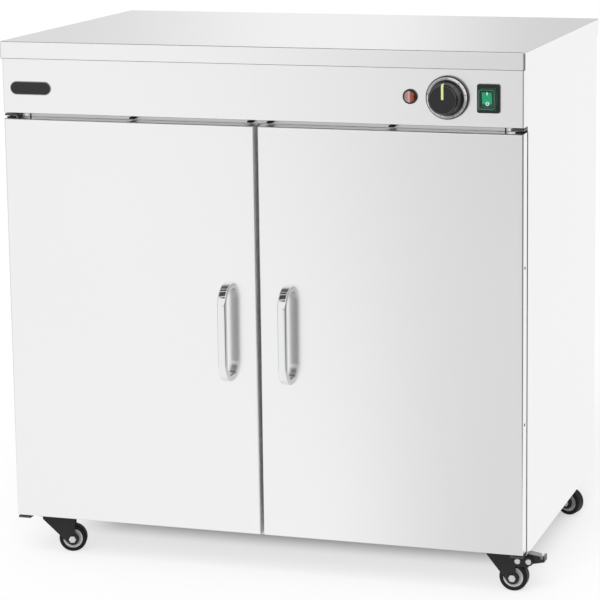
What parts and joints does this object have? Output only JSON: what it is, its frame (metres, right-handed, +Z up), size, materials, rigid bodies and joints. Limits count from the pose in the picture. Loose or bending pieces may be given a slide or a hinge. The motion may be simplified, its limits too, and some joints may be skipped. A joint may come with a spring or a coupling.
{
  "type": "plate warmer",
  "caption": "Heated stainless-steel plate cabinet on swivel casters, with hinged doors, wire shelves, thermostat dial, pilot lamp and covered rocker switch.",
  "frame": {"origin": "on the floor under the middle of the outer box", "axes": "+Z up, +X to the viewer's right along the front, front faces -Y"},
  "size_m": [0.786, 0.522, 0.75],
  "materials": {
    "satin_steel": "satin brushed",
    "chamber_steel": "mill",
    "zinc": "zinc plated",
    "shelf_wire": "bright",
    "chrome": "polished",
    "black_metal": "satin black",
    "black_plastic": "satin black",
    "grey_plastic": "matte",
    "green_plastic": "gloss",
    "amber_lens": "clear amber",
    "clear_cover": "clear",
    "tyre": "matte",
    "black_rubber": "matte",
    "mineral_wool": "fibrous",
    "element_sheath": "heat tinted",
    "copper": "bright"
  },
  "bodies": {
    "cabinet": {"back_panel": "satin_steel", "base_tray": "chamber_steel", "bottom_rail": "chamber_steel", "cable_inlet": "black_rubber", "caster_plates": "black_metal", "chamber_back_wall": "chamber_steel", "chamber_ceiling": "chamber_steel", "chamber_floor": "chamber_steel", "chamber_side_walls": "chamber_steel", "control_panel": "satin_steel", "dial_bezel": "chrome", "heater_brackets": "zinc", "heating_element": "element_sheath", "hinge_lugs": "black_metal", "left_side_panel": "satin_steel", "lower_shelf": "shelf_wire", "magnet_catches": "black_plastic", "pilot_lamp_housing": "black_plastic", "pilot_lamp_lens": "amber_lens", "right_side_panel": "satin_steel", "shelf_supports": "zinc", "switch_cover": "clear_cover", "switch_housing": "black_plastic", "thermostat_body": "black_plastic", "thermostat_probe": "copper", "top_rail": "chamber_steel", "upper_shelf": "shelf_wire", "wall_insulation": "mineral_wool", "worktop": "satin_steel"},
    "left_door": {"left_door_skin": "satin_steel", "left_door_liner": "chamber_steel", "left_door_gasket": "black_rubber", "left_handle": "chrome", "left_door_bushes": "black_plastic"},
    "right_door": {"right_door_skin": "satin_steel", "right_door_liner": "chamber_steel", "right_door_gasket": "black_rubber", "right_handle": "chrome", "right_door_bushes": "black_plastic"},
    "knob": {"thermostat_knob": "black_plastic", "thermostat_spindle": "zinc"},
    "rocker": {"switch_rocker": "green_plastic"},
    "front_left_swivel": {"front_left_fork": "black_metal", "front_left_bolts": "zinc"},
    "front_left_wheel": {"front_left_hub": "grey_plastic", "front_left_tyre": "tyre"},
    "front_right_swivel": {"front_right_fork": "black_metal", "front_right_bolts": "zinc"},
    "front_right_wheel": {"front_right_hub": "grey_plastic", "front_right_tyre": "tyre"},
    "rear_left_swivel": {"rear_left_fork": "black_metal", "rear_left_bolts": "zinc"},
    "rear_left_wheel": {"rear_left_hub": "grey_plastic", "rear_left_tyre": "tyre"},
    "rear_right_swivel": {"rear_right_fork": "black_metal", "rear_right_bolts": "zinc"},
    "rear_right_wheel": {"rear_right_hub": "grey_plastic", "rear_right_tyre": "tyre"},
    "front_right_brake": {"front_right_brake_lever": "black_metal"},
    "rear_left_brake": {"rear_left_brake_lever": "black_metal"}
  },
  "joints": [
    {"name": "left_door_hinge", "type": "hinge", "parent": "cabinet", "child": "left_door", "pos_m": [-0.3655, -0.219, 0.353], "axis": [0, 0, -1], "range_deg": [0, 180]},
    {"name": "right_door_hinge", "type": "hinge", "parent": "cabinet", "child": "right_door", "pos_m": [0.3655, -0.219, 0.353], "axis": [0, 0, 1], "range_deg": [0, 180]},
    {"name": "thermostat_turn", "type": "hinge", "parent": "cabinet", "child": "knob", "pos_m": [0.27, -0.2365, 0.688], "axis": [0, 1, 0], "range_deg": [0, 280]},
    {"name": "switch_rock", "type": "hinge", "parent": "cabinet", "child": "rocker", "pos_m": [0.3257, -0.2325, 0.688], "axis": [-1, 0, 0], "range_deg": [0, 16]},
    {"name": "front_left_caster_swivel", "type": "hinge", "parent": "cabinet", "child": "front_left_swivel", "pos_m": [-0.33, -0.177, 0.052], "axis": [0, 0, 1], "continuous": true},
    {"name": "front_left_wheel_roll", "type": "hinge", "parent": "front_left_swivel", "child": "front_left_wheel", "pos_m": [-0.31183, -0.17144, 0.02], "axis": [-0.2924, 0.9563, 0], "continuous": true},
    {"name": "front_right_caster_swivel", "type": "hinge", "parent": "cabinet", "child": "front_right_swivel", "pos_m": [0.33, -0.177, 0.052], "axis": [0, 0, 1], "continuous": true},
    {"name": "front_right_wheel_roll", "type": "hinge", "parent": "front_right_swivel", "child": "front_right_wheel", "pos_m": [0.349, -0.177, 0.02], "axis": [0, 1, 0], "continuous": true},
    {"name": "rear_left_caster_swivel", "type": "hinge", "parent": "cabinet", "child": "rear_left_swivel", "pos_m": [-0.33, 0.201, 0.052], "axis": [0, 0, 1], "continuous": true},
    {"name": "rear_left_wheel_roll", "type": "hinge", "parent": "rear_left_swivel", "child": "rear_left_wheel", "pos_m": [-0.349, 0.201, 0.02], "axis": [0, 1, 0], "continuous": true},
    {"name": "rear_right_caster_swivel", "type": "hinge", "parent": "cabinet", "child": "rear_right_swivel", "pos_m": [0.33, 0.201, 0.052], "axis": [0, 0, 1], "continuous": true},
    {"name": "rear_right_wheel_roll", "type": "hinge", "parent": "rear_right_swivel", "child": "rear_right_wheel", "pos_m": [0.34817, 0.19545, 0.02], "axis": [0.2924, 0.9563, 0], "continuous": true},
    {"name": "front_right_brake_press", "type": "hinge", "parent": "front_right_swivel", "child": "front_right_brake", "pos_m": [0.3714, -0.177, 0.045], "axis": [0, 1, 0], "range_deg": [0, 18]},
    {"name": "rear_left_brake_press", "type": "hinge", "parent": "rear_left_swivel", "child": "rear_left_brake", "pos_m": [-0.3714, 0.201, 0.045], "axis": [0, -1, 0], "range_deg": [0, 18]}
  ]
}
